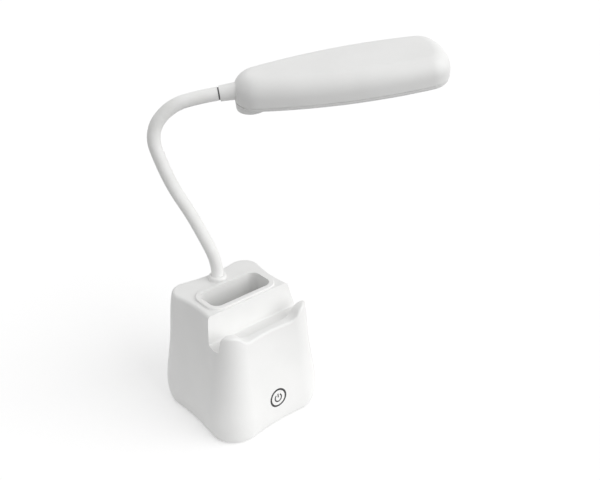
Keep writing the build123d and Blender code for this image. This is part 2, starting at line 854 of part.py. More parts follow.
def head_outline(inset):
    """Return the head seen from above: a round nose, bowed sides and a broad, slightly bowed far end."""
    nose_round = head_nose_width / 2
    nose = Vector(head_gap + nose_round, 0)
    corner = Vector(head_end - head_end_bow - head_far_round, head_far_width / 2 - head_far_round)
    run = corner - nose
    ahead = run.normalized()
    side_round = ((run.length / 2)**2 + head_side_bow**2) / (2 * head_side_bow)
    side_round += (nose_round + head_far_round) / 2
    nose_reach = side_round - nose_round
    corner_reach = side_round - head_far_round
    along = (nose_reach**2 - corner_reach**2 + run.length**2) / (2 * run.length)
    across = sqrt(nose_reach**2 - along**2)
    side_middle = nose + ahead * along + Vector(ahead.Y, -ahead.X) * across
    end_middle = Vector(corner.X - (corner.Y**2 - head_end_bow**2) / (2 * head_end_bow), 0)
    side_out = (corner - side_middle).normalized()
    end_out = (corner - end_middle).normalized()
    nose_side = nose + (nose - side_middle).normalized() * (nose_round - inset)
    side_crest = side_middle + (nose + run / 2 - side_middle).normalized() * (side_round - inset)
    corner_side = corner + side_out * (head_far_round - inset)
    corner_crest = corner + (side_out + end_out).normalized() * (head_far_round - inset)
    corner_end = corner + end_out * (head_far_round - inset)
    with BuildSketch() as outline:
        with BuildLine():
            ThreePointArc((nose_side.X, -nose_side.Y), (head_gap + inset, 0), (nose_side.X, nose_side.Y))
            for side in (1, -1):
                for points in ((nose_side, side_crest, corner_side), (corner_side, corner_crest, corner_end)):
                    ThreePointArc(*[(point.X, side * point.Y) for point in points])
            ThreePointArc((corner_end.X, corner_end.Y), (head_end - inset, 0), (corner_end.X, -corner_end.Y))
        make_face()
    return outline.sketch


def diffuser_outline(inset):
    """Return the light opening, which follows the head's sides and far end."""
    start = diffuser_start + inset
    with BuildSketch() as outline:
        add(head_outline(diffuser_margin + inset))
        with Locations(((start + head_end) / 2, 0)):
            Rectangle(head_end - start, head_far_width, mode=Mode.INTERSECT)
        fillet(outline.vertices().group_by(Axis.X)[0], diffuser_corner_round - inset)
    return outline.sketch


def head_body(inset):
    """Return the head's upper body, flat below and rounded over all round above, drawn in by inset."""
    with BuildPart() as body:
        with BuildSketch(head_plane.offset(rim_top)):
            add(head_outline(inset))
        extrude(amount=head_top - rim_top - inset)
        fillet(body.faces().sort_by(Axis(neck_end, head_up))[-1].edges(), head_top_round - inset)
    return body.part


# Posts under the head's roof for the board and the lower housing
with BuildPart() as head_posts:
    with BuildSketch(head_plane.offset(board_face)):
        with Locations((led_board_middle, 0)):
            with GridLocations(led_post_spread, led_post_row_spread, 2, 2):
                Circle(led_post_radius)
                Circle(board_screw_radius, mode=Mode.SUBTRACT)
    extrude(amount=head_top - board_face)
    with BuildSketch(head_plane.offset(rim_top)):
        with Locations(*head_screw_places):
            Circle(head_post_radius)
            Circle(head_screw_radius, mode=Mode.SUBTRACT)
    extrude(amount=head_top - rim_top)
    add(head_body(head_wall / 2), mode=Mode.INTERSECT)

# Top shell of the head
with BuildPart() as head_top_shell:
    add(head_body(0))
    fillet(head_top_shell.faces().sort_by(Axis(neck_end, head_up))[0].edges(), shell_edge_round)
    add(head_body(head_wall), mode=Mode.SUBTRACT)
    add(head_posts.part)
    with BuildSketch(neck_end_plane):
        Circle(collar_far_radius + clearance)
    extrude(amount=collar_length, mode=Mode.SUBTRACT)
save(head_top_shell, "head_top_shell")

# Lower housing, with its lip inside the shell, its boss below and the light opening
lip_inset = head_wall + clearance
with BuildPart() as head_lower_housing:
    with BuildSketch(head_plane.offset(head_bottom)):
        add(head_outline(rim_inset))
    extrude(amount=rim_height)
    fillet(head_lower_housing.faces().sort_by(Axis(neck_end, head_up))[0].edges(), rim_round)
    with BuildSketch(head_plane.offset(boss_bottom)):
        with Locations((boss_middle, 0)):
            Circle(boss_radius)
    extrude(amount=groove_bottom - boss_bottom)
    fillet(head_lower_housing.faces().sort_by(Axis(neck_end, head_up))[0].edges(), boss_edge_round)
    with BuildSketch(head_plane.offset(rim_top)):
        add(head_outline(lip_inset))
        add(head_outline(lip_inset + lip_thickness), mode=Mode.SUBTRACT)
    extrude(amount=lip_rise)
    with BuildSketch(head_plane.offset(diffuser_bottom)):
        add(diffuser_outline(0))
    extrude(amount=rim_top - diffuser_bottom, mode=Mode.SUBTRACT)
    with BuildSketch(head_plane.offset(head_bottom)):
        add(diffuser_outline(diffuser_ledge))
    extrude(amount=diffuser_sill, mode=Mode.SUBTRACT)

    # Groove under the shell's edge, deepest at the tip of the nose
    with BuildSketch(head_plane.offset(groove_bottom)):
        with Locations((boss_middle, 0)):
            Circle(groove_radius)
        with Locations((head_gap + groove_depth + groove_radius, 0)):
            Circle(groove_radius, mode=Mode.SUBTRACT)
    extrude(amount=groove_height, mode=Mode.SUBTRACT)
    with BuildSketch(head_plane.offset(boss_bottom)):
        with Locations(*head_screw_places):
            Circle(head_screw_head_radius + clearance)
    extrude(amount=head_screw_head_height + boss_drop / 2, mode=Mode.SUBTRACT)
    with BuildSketch(head_plane.offset(boss_bottom)):
        with Locations(*head_screw_places):
            Circle(head_screw_radius + clearance)
    extrude(amount=rim_top - boss_bottom, mode=Mode.SUBTRACT)

    # Room in the lip for the collar's flange
    with BuildSketch(neck_end_plane):
        Circle(collar_flange_radius + clearance)
    extrude(amount=collar_length, mode=Mode.SUBTRACT)
save(head_lower_housing, "head_lower_housing")

# Frosted plate over the light opening
with BuildPart() as diffuser:
    with BuildSketch(head_plane.offset(diffuser_bottom)):
        add(diffuser_outline(clearance))
    extrude(amount=diffuser_height)
save(diffuser, "diffuser")

# Board with its rows of light chips, and the screws that hold it
with BuildPart() as led_board:
    with BuildSketch(head_plane.offset(led_board_level)):
        with Locations((led_board_middle, 0)):
            Rectangle(led_board_length, led_board_width)
            with GridLocations(led_post_spread, led_post_row_spread, 2, 2):
                Circle(board_screw_radius + clearance, mode=Mode.SUBTRACT)
    extrude(amount=board_height)
save(led_board, "led_board")

with BuildPart() as led_chips:
    with BuildSketch(head_plane.offset(led_board_level)):
        with Locations((led_board_middle, 0)):
            with GridLocations(led_spacing, led_row_spacing, led_columns, led_rows):
                Rectangle(led_length, led_width)
    extrude(amount=-led_height)
save(led_chips, "led_chips")

with BuildPart() as led_board_screws:
    with BuildSketch(head_plane.offset(led_board_level)):
        with Locations((led_board_middle, 0)):
            with GridLocations(led_post_spread, led_post_row_spread, 2, 2):
                Circle(board_screw_head_radius)
    extrude(amount=-board_screw_head_height)
    with BuildSketch(head_plane.offset(led_board_level)):
        with Locations((led_board_middle, 0)):
            with GridLocations(led_post_spread, led_post_row_spread, 2, 2):
                Circle(board_screw_radius)
    extrude(amount=board_screw_length)
save(led_board_screws, "led_board_screws")

# White frame that throws the light down onto the diffuser
with BuildPart() as reflector:
    for margin, mode in ((0, Mode.ADD), (reflector_wall, Mode.SUBTRACT)):
        with BuildSketch(head_plane.offset(rim_top)):
            with Locations((led_board_middle, 0)):
                Rectangle(
                    led_board_length + reflector_end_spread - 2 * margin,
                    led_board_width + reflector_side_spread - 2 * margin,
                )
        with BuildSketch(head_plane.offset(led_board_level)):
            with Locations((led_board_middle, 0)):
                Rectangle(led_board_length - 2 * margin, led_board_width - 2 * margin)
        loft(mode=mode)
save(reflector, "reflector")

# Screws that hold the lower housing
with BuildPart() as head_screws:
    screw_seat = boss_bottom + head_screw_head_height + boss_drop / 2
    with BuildSketch(head_plane.offset(screw_seat)):
        with Locations(*head_screw_places):
            Circle(head_screw_head_radius)
    extrude(amount=-head_screw_head_height)
    with BuildSketch(head_plane.offset(screw_seat)):
        with Locations(*head_screw_places):
            Circle(head_screw_radius)
    extrude(amount=head_screw_length)
save(head_screws, "head_screws")

# Swivel between neck and head: washer, spigot, clip and collar
with BuildPart() as swivel_washer:
    with BuildSketch(neck_end_plane):
        Circle(washer_radius)
        Circle(spigot_radius, mode=Mode.SUBTRACT)
    extrude(amount=washer_thickness)
save(swivel_washer, "swivel_washer")

collar_start = washer_thickness + running_clearance
clip_start = collar_length + running_clearance
with BuildPart() as neck_spigot:
    with BuildSketch(neck_end_plane):
        Circle(spigot_radius)
        Circle(core_bore_radius, mode=Mode.SUBTRACT)
    extrude(amount=clip_start + 2 * clip_height)
save(neck_spigot, "neck_spigot")

with BuildPart() as spigot_clip:
    with BuildSketch(neck_end_plane.offset(clip_start)):
        Circle(clip_radius)
        Circle(spigot_radius, mode=Mode.SUBTRACT)
    extrude(amount=clip_height)
save(spigot_clip, "spigot_clip")

with BuildPart() as collar_flange:
    with BuildSketch(neck_end_plane):
        Circle(collar_flange_radius)
    extrude(amount=collar_length)
    add(head_body(head_wall), mode=Mode.INTERSECT)

with BuildPart() as head_collar:
    with BuildSketch(neck_end_plane.offset(collar_start)):
        Circle(collar_radius)
    with BuildSketch(neck_end_plane.offset(head_gap)):
        Circle(collar_far_radius)
    loft()
    with BuildSketch(neck_end_plane.offset(head_gap)):
        Circle(collar_far_radius)
    extrude(amount=collar_length - head_gap)
    add(collar_flange.part)
    with BuildSketch(neck_end_plane):
        Circle(spigot_radius + running_clearance)
    extrude(amount=collar_length, mode=Mode.SUBTRACT)
save(head_collar, "head_collar")

# Lead from the swivel to the edge of the light board
lead_level = led_board_level + neck_lead_radius + clearance
head_route = [
    head_plane.from_local_coords(point)
    for point in (
        (clip_start + 2 * clip_height, 0, 0),
        (head_lead_rise_start, 0, 0),
        (head_lead_rise_end, 0, lead_level),
        (led_board_start, 0, lead_level),
    )
]
with BuildPart() as head_lead:
    add(lead(head_route, head_lead_bend, neck_lead_radius))
save(head_lead, "head_lead")
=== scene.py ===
import json
from collections import namedtuple
from math import atan2, cos, pi, radians, sin

import bmesh
import bpy
from bpy.props import FloatProperty, FloatVectorProperty, IntProperty, PointerProperty, StringProperty
from bpy.types import Operator, Panel, PropertyGroup
from mathutils import Matrix, Vector

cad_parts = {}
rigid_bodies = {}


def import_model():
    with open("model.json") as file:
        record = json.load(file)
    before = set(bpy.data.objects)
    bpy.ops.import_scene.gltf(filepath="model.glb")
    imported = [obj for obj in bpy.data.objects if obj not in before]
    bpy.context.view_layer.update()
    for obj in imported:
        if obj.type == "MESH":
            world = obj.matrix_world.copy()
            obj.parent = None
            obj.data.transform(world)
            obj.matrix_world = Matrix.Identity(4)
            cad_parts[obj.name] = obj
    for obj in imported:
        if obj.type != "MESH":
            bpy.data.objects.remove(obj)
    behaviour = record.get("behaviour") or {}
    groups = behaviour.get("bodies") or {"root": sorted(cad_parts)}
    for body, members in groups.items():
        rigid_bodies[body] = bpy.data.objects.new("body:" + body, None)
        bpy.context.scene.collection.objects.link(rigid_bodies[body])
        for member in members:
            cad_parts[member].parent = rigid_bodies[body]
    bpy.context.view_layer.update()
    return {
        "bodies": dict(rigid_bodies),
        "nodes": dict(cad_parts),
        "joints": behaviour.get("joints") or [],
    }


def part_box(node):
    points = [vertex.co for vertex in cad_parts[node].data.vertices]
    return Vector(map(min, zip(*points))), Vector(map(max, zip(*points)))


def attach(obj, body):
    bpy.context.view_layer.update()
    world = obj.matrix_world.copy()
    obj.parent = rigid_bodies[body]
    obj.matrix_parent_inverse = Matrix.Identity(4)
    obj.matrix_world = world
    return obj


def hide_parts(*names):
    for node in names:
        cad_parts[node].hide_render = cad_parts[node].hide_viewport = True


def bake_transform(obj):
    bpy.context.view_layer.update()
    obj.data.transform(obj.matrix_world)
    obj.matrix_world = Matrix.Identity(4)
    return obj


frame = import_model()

bl_info = {
    "name": "Cordless Desk Lamp with Phone Slot",
    "version": (1, 0, 0),
    "blender": (4, 5, 0),
    "location": "3D View > Sidebar > Desk Lamp",
    "description": "Dresses the packed desk lamp: neck, leads, screws, materials, floor, light and camera",
    "category": "Object",
}

JOINTS = {joint["name"]: joint for joint in frame["joints"]}
LINK_COUNT = sum(name.startswith("link_") for name in frame["bodies"])
NECK_JOINTS = (
    "neck_side_bend", "lower_bend", "lower_bend_2", "lower_bend_3", "upper_bend",
    "upper_bend_2", "upper_bend_3", "upper_bend_4", "head_twist",
)
UP = Vector((0, 0, 1))

# Numbers of the Mix node's colour sockets, whose names it uses more than once
MIX_FIRST, MIX_SECOND, MIX_RESULT = 6, 7, 2

# Screw sizes in metres: head radius and height, shank radius and length
ScrewSize = namedtuple("ScrewSize", "head_radius head_height shank_radius shank_length")
HEAD_SCREW = ScrewSize(0.0023, 0.0014, 0.0012, 0.009)
LED_BOARD_SCREW = ScrewSize(0.0017, 0.001, 0.0009, 0.005)
COVER_SCREW = ScrewSize(0.0026, 0.0012, 0.0013, 0.0088)


# Sizes and colours

class LampSizes(PropertyGroup):
    """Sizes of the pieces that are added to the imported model."""

    cover_radius: FloatProperty(
        name="Neck Cover Radius", description="Outer radius of the silicone cover on the neck",
        default=0.0042, min=0.002, max=0.008, unit="LENGTH", subtype="DISTANCE", precision=5)
    cover_foot: FloatProperty(
        name="Neck Cover Foot", description="Height above the table at which the neck cover starts",
        default=0.079, min=0.07, max=0.09, unit="LENGTH", subtype="DISTANCE", precision=5)
    neck_step: FloatProperty(
        name="Neck Step", description="Distance between the rings of points along the neck cover and lead",
        default=0.001, min=0.0005, max=0.004, unit="LENGTH", subtype="DISTANCE", precision=5)
    root_bend_drop: FloatProperty(
        name="Root Bend Drop", description="How far below its joint the neck's root starts to bend",
        default=0.0008, min=0.0, max=0.004, unit="LENGTH", subtype="DISTANCE", precision=5)
    cover_sides: IntProperty(
        name="Neck Cover Sides", description="Number of points round the neck cover",
        default=48, min=12, max=96)
    lead_radius: FloatProperty(
        name="Lead Radius", description="Outer radius of the lead through the neck",
        default=0.001, min=0.0003, max=0.002, unit="LENGTH", subtype="DISTANCE", precision=5)
    lead_sides: IntProperty(
        name="Lead Sides", description="Number of points round the lead", default=16, min=8, max=48)
    head_roll: FloatProperty(
        name="Head Roll", description="Turn of the head about the end of the neck, as packed",
        default=radians(10.8), unit="ROTATION", subtype="ANGLE")
    screw_recess: FloatProperty(
        name="Cross Recess Depth", description="Depth of the cross recess in the screw heads",
        default=0.0008, min=0.0002, max=0.002, unit="LENGTH", subtype="DISTANCE", precision=5)
    thread_pitch: FloatProperty(
        name="Thread Pitch", description="Distance between the turns of the screws' threads",
        default=0.0008, min=0.0003, max=0.002, unit="LENGTH", subtype="DISTANCE", precision=5)


class LampColours(PropertyGroup):
    """Colours of the lamp's plastics, rubber and inks, as sRGB hex values."""

    shell: StringProperty(
        name="Shell", description="Colour of the white moulded plastic", default="#F1F1F0")
    cover: StringProperty(
        name="Neck Cover", description="Colour of the silicone on the neck", default="#F8F8F7")
    mark: StringProperty(
        name="Key Mark", description="Colour of the ring and power sign", default="#2C2C2E")
    seam: StringProperty(
        name="Seam", description="Colour of the washer between neck and head", default="#6E6E70")
    mat: StringProperty(
        name="Mat", description="Colour of the anti-slip mat", default="#D9D9D7")
    diffuser: StringProperty(
        name="Diffuser", description="Colour of the frosted plate", default="#F4F4F1")


class LampStage(PropertyGroup):
    """The floor, the lights and the camera."""

    floor_size: FloatProperty(
        name="Floor Size", description="Side length of the floor",
        default=14.0, min=2.0, max=40.0, unit="LENGTH", subtype="DISTANCE")
    camera_place: FloatVectorProperty(
        name="Camera Place", description="Where the camera stands",
        default=(-0.233188, -0.329145, 0.339170), size=3, unit="LENGTH", subtype="TRANSLATION", precision=5)
    camera_heading: FloatProperty(
        name="Camera Heading", description="Turn of the camera about the upright axis",
        default=radians(-41.341), unit="ROTATION", subtype="ANGLE")
    camera_dip: FloatProperty(
        name="Camera Dip", description="How far the camera looks down from level",
        default=radians(27.859), unit="ROTATION", subtype="ANGLE")
    lens: FloatProperty(
        name="Lens", description="Focal length of the camera in millimetres",
        default=42.0, min=10.0, max=200.0)
    sensor_width: FloatProperty(
        name="Sensor Width", description="Width of the camera's sensor in millimetres",
        default=36.0, min=4.0, max=70.0)
    near_clip: FloatProperty(
        name="Near Clip", description="Nearest distance that the camera sees",
        default=0.01, min=0.001, max=1.0, unit="LENGTH", subtype="DISTANCE")
    key_heading: FloatProperty(
        name="Key Heading", description="How far the large soft light stands to the right of the front",
        default=radians(29), unit="ROTATION", subtype="ANGLE")
    key_rise: FloatProperty(
        name="Key Rise", description="How high the large soft light stands above level",
        default=radians(30), unit="ROTATION", subtype="ANGLE")
    key_spread: FloatProperty(
        name="Key Spread", description="Angle that the large soft light fills as the lamp sees it",
        default=radians(64), unit="ROTATION", subtype="ANGLE")
    key_level: FloatProperty(
        name="Key Level", description="Strength of the large soft light",
        default=1.7, min=0.0, max=10.0)
    sky_level: FloatProperty(
        name="Sky Level", description="Strength of the even light from all round",
        default=0.62, min=0.0, max=4.0)
    sheet_reach: FloatProperty(
        name="Sheet Reach", description="Distance from the lamp over which the floor's bounced light fades",
        default=0.36, min=0.05, max=5.0, unit="LENGTH", subtype="DISTANCE")
    floor_lift: FloatProperty(
        name="Floor Lift", description="Light that the floor adds for the camera, so that it shows white",
        default=0.4, min=0.0, max=1.0)


# Materials

def linear(hex_colour):
    """Turn an sRGB hex value into the linear colour that the shaders take."""
    channels = [int(hex_colour[place:place + 2], 16) / 255 for place in (1, 3, 5)]
    return [c / 12.92 if c <= 0.04045 else ((c + 0.055) / 1.055) ** 2.4 for c in channels] + [1.0]


def add_node(tree, kind, settings=None, values=None, links=None):
    """Add a node, set its properties and inputs, and link its inputs from other nodes' outputs.

    Inputs go by name, or by number where a node uses a name more than once.
    """
    node = tree.nodes.new(kind)
    for name, setting in (settings or {}).items():
        setattr(node, name, setting)
    for name, value in (values or {}).items():
        node.inputs[name].default_value = value
    for name, socket in (links or {}).items():
        tree.links.new(socket, node.inputs[name])
    return node


def new_material(name, colour, roughness, ior=1.5, metallic=0.0, **more):
    """Start a material with its uniform values on the shader's own sockets."""
    material = bpy.data.materials.new(name)
    material.use_nodes = True
    tree = material.node_tree
    shader = tree.nodes["Principled BSDF"]
    shader.inputs["Base Color"].default_value = linear(colour)
    shader.inputs["Roughness"].default_value = roughness
    shader.inputs["Metallic"].default_value = metallic
    if not metallic:
        shader.inputs["IOR"].default_value = ior
    for socket, value in more.items():
        shader.inputs[socket.replace("_", " ")].default_value = value
    material.diffuse_color = linear(colour)
    return material, tree, shader


def own_place(tree, **mapping):
    """Return the place on the object's surface as a socket, in metres, mapped where values are given."""
    place = add_node(tree, "ShaderNodeTexCoord").outputs["Object"]
    if mapping:
        mapped = add_node(tree, "ShaderNodeMapping", values=mapping, links={"Vector": place})
        place = mapped.outputs["Vector"]
    return place


def soft_noise(tree, size, detail, roughness=0.5, **mapping):
    """Return noise from 0 to 1 as a socket, with patches about one size across, in metres."""
    noise = add_node(
        tree, "ShaderNodeTexNoise",
        values={"Scale": 1 / size, "Detail": detail, "Roughness": roughness},
        links={"Vector": own_place(tree, **mapping)})
    return noise.outputs["Fac"]


def spread_colour(tree, shader, value, dark, light, start=0.0, end=1.0):
    """Colour the surface from dark to light as a value rises from start to end."""
    ramp = add_node(tree, "ShaderNodeValToRGB", links={"Fac": value})
    low, high = ramp.color_ramp.elements
    low.position, low.color = start, linear(dark)
    high.position, high.color = end, linear(light)
    tree.links.new(ramp.outputs["Color"], shader.inputs["Base Color"])


def spread_roughness(tree, shader, value, low, high):
    """Let the roughness follow a value, between two limits."""
    spread = add_node(tree, "ShaderNodeMapRange", values={"To Min": low, "To Max": high},
                      links={"Value": value})
    tree.links.new(spread.outputs["Result"], shader.inputs["Roughness"])


def add_relief(tree, shader, height, depth, strength):
    """Let the surface rise and fall with a value, by up to a depth in metres."""
    bump = add_node(tree, "ShaderNodeBump", values={"Strength": strength, "Distance": depth},
                    links={"Height": height})
    tree.links.new(bump.outputs["Normal"], shader.inputs["Normal"])


def vary_colour(tree, shader, light, dark, size):
    """Mottle the base colour between two close tones, with patches about one size across."""
    spread_colour(tree, shader, soft_noise(tree, size, detail=3.0), dark, light, start=0.35, end=0.65)


def vary_roughness(tree, shader, low, high, size):
    """Let the roughness drift between two limits, with patches about one size across."""
    spread_roughness(tree, shader, soft_noise(tree, size, detail=2.0), low, high)


def add_grain(tree, shader, size, depth, strength):
    """Add the fine relief that a textured mould leaves, with grains about one size across."""
    add_relief(tree, shader, soft_noise(tree, size, detail=2.0, roughness=0.6), depth, strength)


def moulded_abs(name, colour, dark):
    """ABS from a spark-eroded mould: a satin skin of fine grains, even in colour."""
    material, tree, shader = new_material(name, colour, 0.42, ior=1.54)
    # Two close tones, in patches about 30 mm wide
    vary_colour(tree, shader, colour, dark, size=0.03)
    vary_roughness(tree, shader, low=0.38, high=0.47, size=0.012)
    # Eroded grains are about 0.1 mm, drawn at 0.45 mm so that they show
    add_grain(tree, shader, size=0.00045, depth=0.00003, strength=0.35)
    return material


def silicone_rubber(name, colour, dark):
    """Moulded silicone: a soft dull sheen, faintly cloudy, that picks up fine dust."""
    material, tree, shader = new_material(
        name, colour, 0.5, ior=1.43, Sheen_Weight=0.06, Sheen_Roughness=0.5)
    # Cloudiness as in milky silicone, patches about 8 mm
    vary_colour(tree, shader, colour, dark, size=0.008)
    vary_roughness(tree, shader, low=0.46, high=0.56, size=0.005)
    # The skin's dimples are about 0.2 mm, drawn at 0.5 mm
    add_grain(tree, shader, size=0.0005, depth=0.00003, strength=0.35)
    return material


def ribbed_mat(colour):
    """Anti-slip silicone mat, pressed with crossed ribs."""
    material, tree, shader = new_material("anti_slip_silicone_mat", colour, 0.62, ior=1.43)
    rib_pitch = 0.0016
    heights = []
    for turn in (45, -45):
        # At scale 1 the wave's bands are a tenth of pi apart
        ribs = add_node(
            tree, "ShaderNodeTexWave", settings={"bands_direction": "X"},
            values={"Scale": pi / 10 / rib_pitch},
            links={"Vector": own_place(tree, Rotation=(0, 0, radians(turn)))})
        heights.append(ribs.outputs["Fac"])
    both = add_node(tree, "ShaderNodeMath", settings={"operation": "MAXIMUM"},
                    links={0: heights[0], 1: heights[1]})
    add_relief(tree, shader, both.outputs["Value"], depth=0.0003, strength=0.7)
    return material


def key_ink(colour):
    """Dark inlay of the touch key, dull like pad-printed ink."""
    material, tree, shader = new_material("pad_printed_ink", colour, 0.55, ior=1.5)
    vary_colour(tree, shader, colour, "#262628", size=0.0012)
    add_grain(tree, shader, size=0.0004, depth=0.00002, strength=0.3)
    return material


def frosted_polycarbonate(colour):
    """Opal polycarbonate plate: milky white with a matt etched face, and a little light comes through."""
    material, tree, shader = new_material(
        "frosted_polycarbonate", colour, 0.58, ior=1.585, Transmission_Weight=0.1)
    vary_colour(tree, shader, colour, "#EEEEEA", size=0.02)
    # Etched frost is about 0.05 mm, drawn at 0.4 mm
    add_grain(tree, shader, size=0.0004, depth=0.00003, strength=0.4)
    return material


def clear_acrylic():
    """Polished acrylic light pipe with a slightly blue edge."""
    material, tree, shader = new_material(
        "clear_acrylic", "#E9F1F5", 0.08, ior=1.49, Transmission_Weight=0.85)
    vary_roughness(tree, shader, low=0.05, high=0.14, size=0.002)
    return material


def plated_steel(name, colour, dark, stretch=(1, 1, 1)):
    """Steel, bare from the roll or with a thin zinc or nickel plate: softly streaked, no mirror."""
    material, tree, shader = new_material(name, colour, 0.34, metallic=1.0)
    streak_width = 0.0006
    streaks = soft_noise(tree, streak_width, detail=4.0, Scale=stretch)
    spread_roughness(tree, shader, streaks, low=0.3, high=0.5)
    spread_colour(tree, shader, streaks, dark, colour)
    return material


def contact_brass():
    """Sprung brass strip, brighter in places where the stamp rubbed it."""
    material, tree, shader = new_material("stamped_brass", "#C9A95B", 0.3, metallic=1.0)
    vary_colour(tree, shader, "#CFB168", "#B48F45", size=0.002)
    vary_roughness(tree, shader, low=0.24, high=0.4, size=0.0015)
    return material


def shrink_sleeve():
    """PVC shrink sleeve round the cell: glossy, faintly wrinkled where it was shrunk."""
    material, tree, shader = new_material("pvc_shrink_sleeve", "#2B5FA8", 0.22, ior=1.53)
    vary_colour(tree, shader, "#2B5FA8", "#264F8C", size=0.015)
    # Wrinkles run round the cell, which lies along X
    wrinkle_width = 0.0012
    wrinkles = soft_noise(tree, wrinkle_width, detail=2.0, Scale=(1, 0.2, 0.2))
    add_relief(tree, shader, wrinkles, depth=0.00008, strength=0.3)
    return material


def solder_mask(name, colour, track):
    """Glass-epoxy board under solder mask: tracks show as a lighter pattern in the lacquer."""
    material, tree, shader = new_material(name, colour, 0.3, ior=1.55)
    # Tracks run along the borders of cells, a share of a cell wide
    cell_size = 0.0024
    track_share = 0.1
    cells = add_node(
        tree, "ShaderNodeTexVoronoi", settings={"distance": "MANHATTAN", "feature": "DISTANCE_TO_EDGE"},
        values={"Scale": 1 / cell_size}, links={"Vector": own_place(tree)})
    edge = add_node(tree, "ShaderNodeMath", settings={"operation": "LESS_THAN"}, values={1: track_share},
                    links={0: cells.outputs["Distance"]})
    lacquer = add_node(tree, "ShaderNodeMix", settings={"data_type": "RGBA"},
                       values={MIX_FIRST: linear(colour), MIX_SECOND: linear(track)},
                       links={"Factor": edge.outputs["Value"]})
    tree.links.new(lacquer.outputs[MIX_RESULT], shader.inputs["Base Color"])
    add_relief(tree, shader, edge.outputs["Value"], depth=0.00003, strength=0.3)
    return material


def moulded_epoxy():
    """Black moulding compound of chips and coils, dull and faintly speckled by its filler."""
    material, tree, shader = new_material("moulded_epoxy", "#1E1E20", 0.6, ior=1.55)
    vary_colour(tree, shader, "#232325", "#19191B", size=0.0006)
    add_grain(tree, shader, size=0.0003, depth=0.00002, strength=0.4)
    return material


def phosphor_gel():
    """Silicone gel with yellow phosphor over the light chips."""
    material, tree, shader = new_material("phosphor_silicone_gel", "#F0D65A", 0.3, ior=1.43)
    vary_colour(tree, shader, "#F3DA62", "#E6C84C", size=0.0008)
    return material


def wire_cover():
    """Extruded PVC wire cover: smooth and faintly uneven in gloss."""
    material, tree, shader = new_material("extruded_pvc", "#B3322C", 0.35, ior=1.53)
    vary_colour(tree, shader, "#B83730", "#A32C27", size=0.004)
    vary_roughness(tree, shader, low=0.3, high=0.42, size=0.002)
    return material


def carbon_rubber():
    """Conductive rubber pad of the touch sensor, matt black-grey."""
    material, tree, shader = new_material("carbon_loaded_rubber", "#3C3C3E", 0.75, ior=1.52)
    vary_colour(tree, shader, "#424244", "#343436", size=0.001)
    add_grain(tree, shader, size=0.0004, depth=0.00004, strength=0.5)
    return material


def dress(material, *nodes):
    """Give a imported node's slots one material."""
    for node in nodes:
        for slot in frame["nodes"][node].material_slots:
            slot.material = material


def new_piece(name, mesh, material):
    """Put a finished mesh into the scene under its name and material."""
    mesh.materials.append(material)
    piece = bpy.data.objects.new(name, mesh)
    bpy.context.scene.collection.objects.link(piece)
    return piece


# Neck cover and leads

def neck_route():
    """Return the neck's joints as points, the lean of its arc at each, and the way in which it bends."""
    points = [Vector(JOINTS[name]["pos_m"]) for name in NECK_JOINTS]
    forward = Vector(JOINTS["neck_side_bend"]["axis"]).normalized()
    leans = [0.0]
    for start, end in zip(points, points[1:]):
        chord = end - start
        leans.append(2 * atan2(chord.dot(forward), chord.z) - leans[-1])
    return points, leans, forward


def leaning(forward, lean):
    """Return the direction that leans forward from upright by an angle."""
    return forward * sin(lean) + UP * cos(lean)


def along_link(start, end, lean, turn, forward, share):
    """Return the point and the direction at a share of the way along one link's arc."""
    chord = (end - start).length
    part = turn * share
    reach = chord * sin(part / 2) / sin(turn / 2)
    return start + leaning(forward, lean + part / 2) * reach, leaning(forward, lean + part)


def neck_stretches(foot_height, step):
    """Return the neck's stretches as rings of (point, direction), cut in the middle of each link."""
    points, leans, forward = neck_route()

    def arc(number, first, last):
        """Rings over a share of one link's arc."""
        start, end = points[number], points[number + 1]
        turn = leans[number + 1] - leans[number]
        count = max(2, round((end - start).length * (last - first) / step))
        return [
            along_link(start, end, leans[number], turn, forward, first + (last - first) * k / count)
            for k in range(count + 1)
        ]

    foot = Vector((points[0].x, points[0].y, foot_height))
    foot_count = round((points[0].z - foot_height) / step)
    rise = [(foot.lerp(points[0], k / foot_count), UP) for k in range(foot_count)]
    stretches = [rise + arc(0, 0, 0.5)]
    for number in range(1, LINK_COUNT):
        stretches.append(arc(number - 1, 0.5, 1)[:-1] + arc(number, 0, 0.5))
    stretches.append(arc(LINK_COUNT - 1, 0.5, 1))
    return stretches, forward


def tube_mesh(name, rings, radius, sides, across):
    """Build one stretch of round tube through rings of (point, direction), open at both ends."""
    mesh = bpy.data.meshes.new(name)
    build = bmesh.new()
    loops = []
    for point, direction in rings:
        out = direction.cross(across).normalized()
        loop = []
        for k in range(sides):
            turn = 2 * pi * k / sides
            loop.append(build.verts.new(point + (out * cos(turn) + across * sin(turn)) * radius))
        loops.append(loop)
    for low, high in zip(loops, loops[1:]):
        for k in range(sides):
            following = (k + 1) % sides
            build.faces.new((low[following], low[k], high[k], high[following]))
    build.to_mesh(mesh)
    build.free()
    mesh.shade_smooth()
    return mesh


def lay_along_neck(name, radius, sides, foot_height, material, replaced):
    """Lay a round tube along the neck in stretches that bend between its links, each in a node's place."""
    sizes = bpy.context.scene.lamp_sizes
    stretches, forward = neck_stretches(foot_height, sizes.neck_step)
    across = UP.cross(forward)
    bodies = ["base"] + [f"link_{number + 1}" for number in range(LINK_COUNT)]
    for number, rings in enumerate(stretches):
        mesh = tube_mesh(f"{name}_{number}", rings, radius, sides, across)
        piece = new_piece(f"{name}_{number}", mesh, material)
        if number == LINK_COUNT:
            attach(piece, bodies[number])
        else:
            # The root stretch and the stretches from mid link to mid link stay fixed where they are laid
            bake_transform(piece)
        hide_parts(replaced[number])


